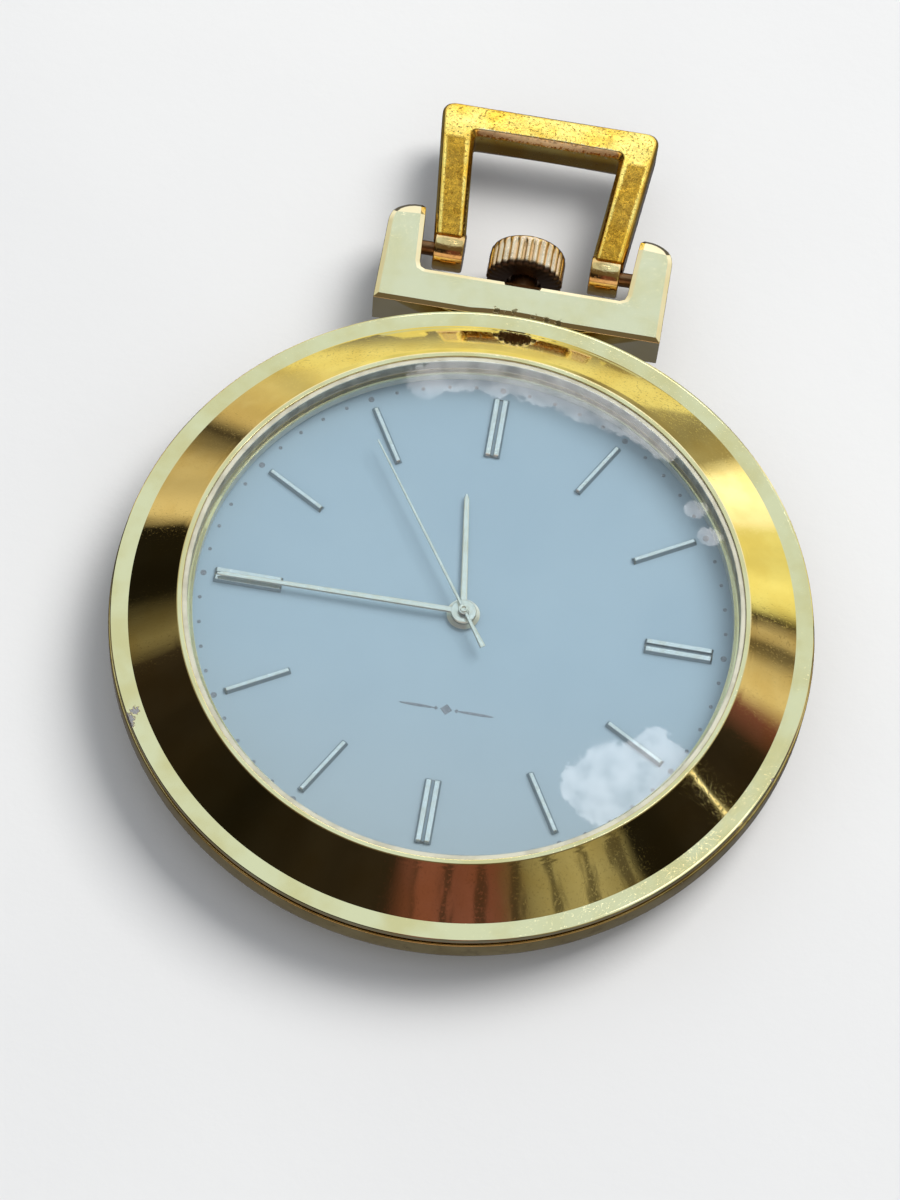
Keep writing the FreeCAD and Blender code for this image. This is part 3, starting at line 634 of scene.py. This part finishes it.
case_r = rim_r
seam_marks = [((-1.3, 21.2, rim_z), 0.20), ((-0.75, 21.15, rim_z), 0.16), ((-0.2, 21.2, rim_z), 0.13),
              ((1.1, 21.15, rim_z), 0.16), ((1.9, 21.1, rim_z), 0.22), ((2.6, 21.0, rim_z), 0.2)]
bracket_gold = plated("bracket gold", (0.98, 0.87, 0.56), (0.93, 0.80, 0.46), 0.05, 0.04, seam_marks,
                      (0.34, 0.28, 0.14))
piece("bow_bracket", *bracket_mesh(), bracket_gold, "case", "bow_bracket", "gold", crease=12, tidy=0.03)

# ======================================================================================
# Bow: a cast stirrup with flat faces and bevelled edges, hinged on two short pins. The plate
# is a deeper gold and pitted, with a dull, mottled brown painted shade down the middle of each leg, painted
# shade on its lower faces, and a bright turned foot on each leg.
# ======================================================================================
bow_low, bow_high = span("bow")
foot_y, pin_y = 26.15, 25.7
pin_z = (bow_low.z + bow_high.z) / 2
leg_foot = (6.01, 4.0)
leg_top = (bow_high.x, 4.65)
bow_in_y, bow_top_y = 34.0, bow_high.y
thick = bow_high.z - bow_low.z


def stirrup_gold():
    """Deep gold with a mottled brown painted shade in the middle of each leg, painted shade darkening
    the lower faces, and a worn, whitish inner edge on the bar."""
    f = Finish("pitted bow gold")
    x, y, z = f.axis(0), f.axis(1), f.axis(2)
    lean = (leg_top[0] + leg_top[1] - leg_foot[0] - leg_foot[1]) / 2 / (bow_in_y - foot_y)
    middle = (y - foot_y) * lean + (
        leg_foot[0] + leg_foot[1]) / 2
    speck = f.noise(0.22, 4.0, 0.7)
    # Painted shade: a dull, mottled brown band down the middle of each leg.
    painted_leg_shade = f.ramp((x.math("ABSOLUTE") - middle).math("ABSOLUTE") + (speck - 0.5) * 0.3, 0.52, 0.64, 1.0,
                    0.0)
    painted_leg_shade = painted_leg_shade * f.ramp(y, bow_in_y - 0.7, bow_in_y - 0.3, 1.0, 0.0)
    mottle = f.ramp(f.noise(0.5, 4.0, 0.75), 0.36, 0.62)
    pits = f.ramp(f.noise(0.16, 3.0, 0.65), 0.56, 0.72)
    colour = f.blend(f.ramp(f.noise(2.2, 3.0), 0.35, 0.7), (1.0, 0.74, 0.20), (0.96, 0.56, 0.07))
    colour = f.blend(painted_leg_shade * 0.9, colour, f.blend(mottle, (0.34, 0.16, 0.012), (0.66, 0.34, 0.03)))
    grimy = f.ramp(f.noise(0.8, 4.0, 0.7), 0.52, 0.68)
    colour = f.blend(pits * 0.45 + grimy * 0.12, colour, (0.26, 0.12, 0.02))
    worn = f.ramp(y - bow_in_y + (speck - 0.5) * 0.5, 0.0, 0.12) * f.ramp(
        y - bow_in_y + (speck - 0.5) * 0.5, 0.26, 0.42, 1.0, 0.0)
    worn = worn * f.ramp(z, bow_high.z - 0.8, bow_high.z - 0.5) * f.ramp(
        x.math("ABSOLUTE"), 4.3, 4.6, 1.0, 0.0)
    colour = f.blend(worn * 0.85, colour, (1.0, 0.93, 0.68))
    # Painted shade: the lower faces of the bow are darkened towards deep brown.
    deep = f.ramp(z, bow_high.z - 1.3, bow_high.z - 0.55, 1.0, 0.0)
    colour = f.blend(deep * 0.75, colour, (0.24, 0.11, 0.015))
    rough = pits * 0.22 + painted_leg_shade * 0.10 + grimy * 0.10 + worn * 0.2 + 0.12
    return f.close(Base_Color=colour, Metallic=1.0, Roughness=rough,
                   Normal=f.bump(pits * -1.0 + mottle * painted_leg_shade * 0.5 + f.noise(1.6, 2.0) * 1.0, 0.012))


bow_gold = stirrup_gold()


def bow_mesh():
    """The stirrup's section, from the outer edge (0) to the inner edge (1), carried round its corners."""
    half = thick / 2
    section = [(0, 0.0, -half + 0.3), (0, 0.0, half - 0.3), (0, 0.07, half - 0.16), (0, 0.2, half - 0.03),
               (0, 0.26, half), (1, -0.36, half), (1, -0.26, half - 0.08), (1, 0.0, half - 0.45),
               (1, 0.0, -half + 0.5), (1, -0.3, -half), (0, 0.25, -half)]
    corner, bend = 0.95, 8
    stops = []
    for k in range(17):
        t = k / 16
        outer = Vector((leg_foot[0], foot_y)).lerp(Vector((leg_top[0] - 0.1, bow_top_y - corner)), t)
        inner = Vector((leg_foot[1], foot_y)).lerp(Vector((leg_top[1], bow_in_y - 0.35)), t)
        stops.append((outer, inner))
    for k in range(1, bend + 1):
        t = k / bend
        a, b, c = Vector((leg_top[0] - 0.1, bow_top_y - corner)), Vector((leg_top[0], bow_top_y)), Vector(
            (leg_top[0] - corner, bow_top_y))
        outer = a * (1 - t) ** 2 + b * 2 * t * (1 - t) + c * t * t
        a, b, c = Vector((leg_top[1], bow_in_y - 0.35)), Vector((leg_top[1], bow_in_y)), Vector(
            (leg_top[1] - 0.35, bow_in_y))
        stops.append((outer, a * (1 - t) ** 2 + b * 2 * t * (1 - t) + c * t * t))
    far_outer, far_inner = stops[-1]
    for k in range(1, 13):
        t = k / 12
        stops.append((Vector((far_outer.x * (1 - t), far_outer.y)),
                      Vector((far_inner.x * (1 - t), far_inner.y))))
    stops = [((-a.x, a.y), (-b.x, b.y)) for a, b in stops] + [(tuple(a), tuple(b)) for a,
                                                              b in reversed(stops[:-1])]
    verts, faces, n = [], [], len(section)
    for (ox, oy), (ix, iy) in stops:
        width = math.hypot(ix - ox, iy - oy)
        for edge, along, z in section:
            s = edge + along / width
            verts.append((ox + (ix - ox) * s, oy + (iy - oy) * s, pin_z + z))
    for k in range(len(stops) - 1):
        for i in range(n):
            j = (i + 1) % n
            faces.append([k * n + i, k * n + j, (k + 1) * n + j, (k + 1) * n + i])
    faces += [list(range(n)), [(len(stops) - 1) * n + i for i in range(n)]]
    return verts, faces


piece("bow", *bow_mesh(), bow_gold, "bow", "bow", "bow_gold", crease=24, tidy=0.05)


def rod_mesh(outline, around, axis, centre, ripple=None):
    """A turned rod lying along X or Y, from (distance, radius) stations."""
    verts, faces = [], []
    for along, radius in outline:
        for k in range(around):
            a = 2 * math.pi * k / around
            r = radius * (ripple(a, along) if ripple else 1)
            u, v = r * math.cos(a), r * math.sin(a)
            verts.append((along, centre[1] + u, centre[2] + v) if axis == "X" else (
                centre[0] + u, along, centre[2] + v))
    for i in range(len(outline) - 1):
        for k in range(around):
            m = (k + 1) % around
            faces.append([i * around + k, i * around + m, (i + 1) * around + m, (i + 1) * around + k])
    faces += [list(range(around)), [(len(outline) - 1) * around + k for k in range(around)]]
    return verts, faces


knuckle_r, knuckle_in, knuckle_out = (bow_high.z - bow_low.z) / 2 - 0.05, 4.0, 5.88
knuckle_gold = plated("bright bow foot", (0.97, 0.78, 0.40), (0.82, 0.55, 0.22), 0.1, 0.3, grime=0.3)
for side, name in ((-1, "left"), (1, "right")):
    ends = [(knuckle_in, knuckle_r - 0.12), (knuckle_in + 0.05, knuckle_r - 0.03),
            (knuckle_in + 0.14, knuckle_r),
            (knuckle_out - 0.14, knuckle_r), (knuckle_out - 0.05,
                                              knuckle_r - 0.03), (knuckle_out, knuckle_r - 0.12)]
    piece("bow_knuckle_" + name, *rod_mesh([(side * x, r) for x, r in ends], 64, "X", (0, pin_y, pin_z)),
          knuckle_gold, "bow", None, "bow_gold", crease=30)

# ======================================================================================
# Crown: turned brass in a paler rose gold, with flutes milled round it and a domed end. It
# sits on the stem, over the tube that is pressed into the case.
# ======================================================================================
crown_low, crown_high = span("crown")
crown_r = (crown_high.x - crown_low.x) / 2
crown_z = (crown_low.z + crown_high.z) / 2
flutes = 28
# The crown's near end, by the case, gets a painted shade.
crown_gold = plated("rose gold crown", (1.0, 0.80, 0.58), (0.90, 0.66, 0.42), 0.14, 0.2, grime=0.3,
                    painted_shade=(crown_low.y + 0.15, crown_low.y + 0.5))


def fluting(a, along):
    """Rounded ribs with narrower valleys; they fade out towards the domed end."""
    wave = 0.5 + 0.5 * math.cos(flutes * a)
    fade = min(1.0, max(0.0, (crown_high.y - 0.32 - along) / 0.22))
    return 1 - 0.062 * (1 - wave ** 0.55) * fade


y0, y1 = crown_low.y, crown_high.y
outline = [(y0 + 0.30, 1.06), (y0, 1.12), (y0, crown_r * 0.88), (y0 + 0.04, crown_r * 0.95),
           (y0 + 0.16, crown_r)]
outline += [(y0 + 0.16 + (y1 - 0.6 - y0 - 0.16) * k / 6, crown_r) for k in range(1, 7)]
outline += [(y1 - 0.4, crown_r * 0.99), (y1 - 0.26, crown_r * 0.955), (y1 - 0.14, crown_r * 0.88),
            (y1 - 0.05, crown_r * 0.74), (y1 - 0.015, crown_r * 0.5), (y1, crown_r * 0.2)]
piece("crown", *rod_mesh(outline, flutes * 14, "Y", (0, 0, crown_z), fluting), crown_gold, "crown", "crown",
      "crown_gold", crease=60)

# ======================================================================================
# Everything else stays as the maker cut it: pins, tube, stem, holder, wheels, plates and the
# electronics, each in the finish its own metal or plastic has, save the tube and the pins, which get a dark
# brown painted shade.
# ======================================================================================


def plain_metal(name, bright, deep, gloss, grain_turn=0.3):
    f = Finish(name)
    brushed = f.noise(0.4, 2.0, 0.6, (1, 18, 1), grain_turn)
    tone = f.ramp(f.noise(1.5, 3.0), 0.35, 0.7)
    return f.close(Base_Color=f.blend(tone, bright, deep), Metallic=1.0,
                   Roughness=brushed * 0.12 + tone * 0.05 + gloss,
                   Normal=f.bump(brushed, 0.004))


def moulded(name, light, dark, rough, grain=0.1):
    f = Finish(name)
    speck = f.noise(grain, 2.0, 0.6)
    tone = f.ramp(f.noise(2.0, 3.0), 0.35, 0.7)
    return f.close(Base_Color=f.blend(tone, light, dark), Roughness=speck * 0.15 + rough,
                   Normal=f.bump(speck, 0.006))


def wound_wire(name):
    f = Finish(name)
    turn_pitch = 0.06
    turns = (f.axis(1) * (2 * math.pi / turn_pitch)).math("SINE") * 0.5 + 0.5
    return f.close(Base_Color=f.blend(turns, (0.30, 0.10, 0.03), (0.72, 0.34, 0.14)), Metallic=0.8,
                   Roughness=turns * 0.15 + 0.25, Normal=f.bump(turns, 0.01))


finishes = {
    "gold": bracket_gold, "bow_gold": bow_gold, "crown_gold": crown_gold, "marker": trim, "hand": hand_gold,
    "gasket": moulded("nitrile seal", (0.03, 0.03, 0.03), (0.015, 0.015, 0.015), 0.5),
    "plate": plain_metal("satin brass plate", (0.80, 0.70, 0.44), (0.70, 0.58, 0.32), 0.25),
    "steel": plain_metal("fine steel", (0.62, 0.62, 0.64), (0.50, 0.50, 0.52), 0.2),
    "wheel": plain_metal("gilt wheel", (0.86, 0.68, 0.32), (0.74, 0.54, 0.22), 0.2),
    "holder": moulded("black acetal", (0.05, 0.05, 0.055), (0.03, 0.03, 0.033), 0.45),
    "board": moulded("solder mask", (0.02, 0.12, 0.05), (0.015, 0.09, 0.04), 0.3),
    "chip": moulded("black resin", (0.02, 0.02, 0.022), (0.01, 0.01, 0.012), 0.35),
    "copper": wound_wire("enamelled copper"),
    "magnet": plain_metal("sintered magnet", (0.16, 0.16, 0.17), (0.10, 0.10, 0.11), 0.4),
    "cell": plain_metal("nickel cell can", (0.72, 0.72, 0.74), (0.60, 0.60, 0.62), 0.15),
}
# Painted shade: the crown tube and the bow pins get a dark brown brass.
shaded_tube_brass = plain_metal("tube brass with painted shade", (0.34, 0.19, 0.09), (0.20, 0.10, 0.05), 0.3)
for part in frame["record"]["subparts"]:
    if part["material_slot"] in finishes:
        mesh = frame["nodes"][part["node"]].data
        mesh.materials.clear()
        mesh.materials.append(shaded_tube_brass if part["node"] in ("crown_tube",
                                                             "bow_pins") else finishes[part["material_slot"]])

# ======================================================================================
# Studio: a pale floor, a pale room, one large soft lamp over the right shoulder, and a painted
# tent and a dark mat for the polished metal to mirror. These two show only in reflections.
# ======================================================================================


def floor_finish():
    f = Finish("pale floor")
    weave = f.noise(1.2, 3.0, 0.6)
    tone = f.ramp(f.noise(60.0, 3.0), 0.3, 0.7)
    return f.close(Base_Color=f.blend(tone, (0.72, 0.72, 0.715), (0.68, 0.68, 0.68)),
                   Roughness=weave * 0.1 + 0.75,
                   Normal=f.bump(weave, 0.02))


def sheet(name, corners, material):
    mesh = bpy.data.meshes.new(name)
    mesh.from_pydata(corners, [], [tuple(range(len(corners)))])
    mesh.materials.append(material)
    obj = bpy.data.objects.new(name, mesh)
    bpy.context.scene.collection.objects.link(obj)
    return obj


floor_half = 3.0
sheet("floor", [(-floor_half, -floor_half, 0), (floor_half, -floor_half, 0), (floor_half, floor_half, 0),
                (-floor_half, floor_half, 0)], floor_finish())


def only_mirrored(obj):
    obj.visible_camera = obj.visible_diffuse = obj.visible_shadow = obj.visible_transmission = False


def tent_finish():
    """Painted by the way a facet must face to mirror that part of the tent: its clock angle and its tilt."""
    f = Finish("painted tent")
    to_camera = (0.029, -0.457, 0.889)
    seen = f.add("VectorMath", {"operation": "NORMALIZE"}, {0: f.spot()})
    facing = f.add("VectorMath", {"operation": "NORMALIZE"},
                   {0: f.add("VectorMath", {"operation": "ADD"}, {0: seen, 1: to_camera})})
    x, y, z = f.parts(facing)
    tilt = z.math("ARCCOSINE") * (180 / math.pi)
    shake = (f.noise(260.0, 3.0, 0.7) - 0.5)
    hour = (x.math("ARCTAN2", y) * (6 / math.pi) + shake * 0.10).math("WRAP", 12.0, 0.0)

    def painted(stops):
        return f.add("ValToRGB", {"stops": [(at / 12, shade) for at, shade in stops]}, {"Fac": hour / 12})

    night, painted_shade, rust = (0.012, 0.010, 0.006), (0.03, 0.022, 0.014), (0.20, 0.075, 0.06)
    olive = (0.20, 0.17, 0.09)
    straw, brass, honey, glare = (0.36, 0.32, 0.17), (0.66, 0.54, 0.30), (0.92, 0.86, 0.36), (1.5, 1.42, 0.95)
    ring = painted([
        (0.0, honey), (0.35, honey), (0.55, straw), (1.60, straw), (1.74, glare), (2.06, glare), (
            2.16, honey),
        (2.70, honey), (2.76, painted_shade), (2.88, brass), (2.97, painted_shade), (3.08, brass), (3.30, brass), (3.40, rust),
        (3.60, painted_shade), (4.60, night), (4.70, straw), (5.15, straw), (5.32, olive), (5.50, rust), (6.0, rust),
        (6.15, painted_shade), (7.2, night), (8.3, painted_shade), (8.42, olive), (8.70, night), (9.20, night), (9.26, brass),
        (9.62, brass), (9.95, painted_shade), (10.10, brass), (11.2, honey)])
    peat, blush = (0.14, 0.11, 0.07), (0.9, 0.66, 0.5)
    inside = painted([
        (0.0, (1.15, 1.18, 1.25)), (2.2, (1.1, 1.13, 1.18)), (3.4,
                                                              (0.55, 0.52, 0.36)), (5.0, peat), (7.5, peat),
        (8.8, (0.5, 0.5, 0.38)), (10.0, (1.0, 1.03, 1.06))])
    outside = painted([
        (0.0, brass), (2.5, brass), (4.6, painted_shade), (5.4, blush), (6.6, blush), (7.4, painted_shade), (9.5, painted_shade),
        (10.5, brass)])
    bands = (hour * 5.5 + shake * 2.2).math("SINE") * (hour * 13.0).math("SINE") * 0.16 + 0.92
    ring = f.add("VectorMath", {"operation": "SCALE"}, {0: ring, "Scale": bands})
    stripes = f.ramp((hour * 29.0 + shake * 3.0).math("SINE"), -0.9, -0.45, 0.75, 0.0)
    stripes = stripes * f.ramp((hour - 5.3).math("ABSOLUTE"), 0.68, 0.76, 1.0, 0.0)
    ring = f.blend(stripes, ring, painted_shade)
    thread = f.ramp((hour - 4.0).math("ABSOLUTE"), 0.008, 0.018, 1.0, 0.0)
    ring = f.blend(thread, ring, glare)
    colour = f.blend(f.ramp(tilt, 25.5, 27.0), inside, ring)
    colour = f.blend(f.ramp(tilt, 37.5, 39.0), colour, outside)
    below = f.ramp((hour - 6.0).math("ABSOLUTE"), 0.7, 1.2, 1.0, 0.0) * f.ramp(tilt, 46.0, 49.0)
    colour = f.blend(below * f.ramp(tilt, 62.0, 66.0, 1.0, 0.25), colour, (0.10, 0.035, 0.02))
    seen_x, seen_y, seen_z = f.parts(seen)
    east, north = seen_x / seen_z, seen_y / seen_z
    here = f.add("CombineXYZ", None, {0: east, 1: north, 2: 0.0})
    puffs = ((-0.080, 0.706, 0.020), (-0.052, 0.722, 0.026), (-0.020, 0.728, 0.028), (0.012, 0.724, 0.030),
             (0.042, 0.712, 0.028), (0.068, 0.698, 0.022), (0.088, 0.680, 0.014), (0.112, 0.628, 0.009),
             (0.124, 0.606, 0.009), (0.070, 0.386, 0.022), (0.088, 0.378, 0.022), (0.084, 0.402, 0.024),
             (0.104, 0.400, 0.024), (0.108, 0.424, 0.017), (0.126, 0.408, 0.018))
    banks = None
    for cx, cy, size in puffs:
        far = f.add("VectorMath", {"operation": "DISTANCE"}, {0: here, 1: (cx, cy, 0.0)}, out="Value")
        puff = f.ramp(far, 0.0, size * 1.5, 1.0, 0.0)
        banks = puff if banks is None else banks + puff
    ragged = (f.noise(90.0, 6.0, 0.8) - 0.5) * banks.math("MINIMUM", 0.5) * 4.5
    clouds = f.ramp(banks + ragged, 0.34, 0.46)
    thin = f.ramp(f.noise(70.0, 4.0, 0.65), 0.3, 0.62, 0.4, 1.0)
    sky = f.blend(clouds * thin, (0.66, 0.80, 0.88), (4.7, 4.7, 4.8))
    colour = f.blend(f.ramp(tilt, 11.5, 13.5, 1.0, 0.0), colour, sky)
    return f.glow(colour)


def tent():
    reach, around, rows = 5.0, 48, 16
    verts = [(reach * math.sin(2 * math.pi * k / around) * math.cos(math.pi / 2 * j / rows),
              reach * math.cos(2 * math.pi * k / around) * math.cos(math.pi / 2 * j / rows),
              reach * math.sin(math.pi / 2 * j / rows) - 0.02) for j in range(rows) for k in range(around)]
    verts.append((0, 0, reach))
    faces = [(j * around + k, j * around + (k + 1) % around, (j + 1) * around + (k + 1) % around,
              (j + 1) * around + k)
             for j in range(rows - 1) for k in range(around)]
    faces += [((rows - 1) * around + k, (rows - 1) * around + (k + 1) % around, len(verts) - 1)
              for k in range(around)]
    mesh = bpy.data.meshes.new("tent")
    mesh.from_pydata(verts, [], faces)
    mesh.materials.append(tent_finish())
    obj = bpy.data.objects.new("tent", mesh)
    bpy.context.scene.collection.objects.link(obj)
    only_mirrored(obj)


tent()
def mat_finish():
    """Dark cloth, lit honey-yellow beyond 12 o'clock where the bevel mirrors it at a low angle."""
    f = Finish("dark mat")
    beyond = f.axis(1) - f.axis(0).math("ABSOLUTE") * 0.7
    cloth = f.blend(f.noise(4.0, 3.0, 0.6), (0.10, 0.10, 0.11), (0.15, 0.15, 0.16))
    return f.glow(f.blend(f.ramp(beyond, 50.0, 120.0), cloth, (0.88, 0.80, 0.34)))


mat_half, mat_z = 5.0, 0.0003
only_mirrored(sheet("dark mat", [(-mat_half, -mat_half, mat_z), (mat_half, -mat_half, mat_z),
                                 (mat_half, mat_half, mat_z), (-mat_half, mat_half, mat_z)], mat_finish()))

room = bpy.data.worlds.new("pale room")
bpy.context.scene.world = room
air = Finish("room", room)
air.surface(air.add("Background", None, {"Color": (0.86, 0.90, 0.95), "Strength": 0.62}), "World")


def lamp(name, place, aim, size, watts, colour):
    data = bpy.data.lights.new(name, "AREA")
    data.energy, data.size, data.color = watts, size, colour
    obj = bpy.data.objects.new(name, data)
    obj.location = place
    obj.rotation_euler = (Vector(aim) - Vector(place)).to_track_quat("-Z", "Y").to_euler()
    obj.visible_camera = obj.visible_glossy = False
    bpy.context.scene.collection.objects.link(obj)


lamp("soft key", (0.5, 0.55, 0.9), (0, 0, 0), 0.7, 14.0, (1.0, 0.98, 0.95))

# ======================================================================================
# Camera: a long lens above the 6 o'clock side, turned a little so that 12 leans to the right.
# ======================================================================================
camera = bpy.data.objects.new("camera", bpy.data.cameras.new("camera"))
bpy.context.scene.collection.objects.link(camera)
camera.data.lens = 120.0
camera.data.clip_start = 0.01
right = Vector((0.986008, 0.159177, 0.049513))
up = Vector((-0.164149, 0.875341, 0.454789))
back = right.cross(up).normalized()
turn = Matrix((right, up, back)).transposed().to_4x4()
camera.matrix_world = Matrix.Translation((0.006006, -0.108162, 0.216511)) @ turn
bpy.context.scene.camera = camera
bpy.context.scene.view_settings.view_transform = "Standard"
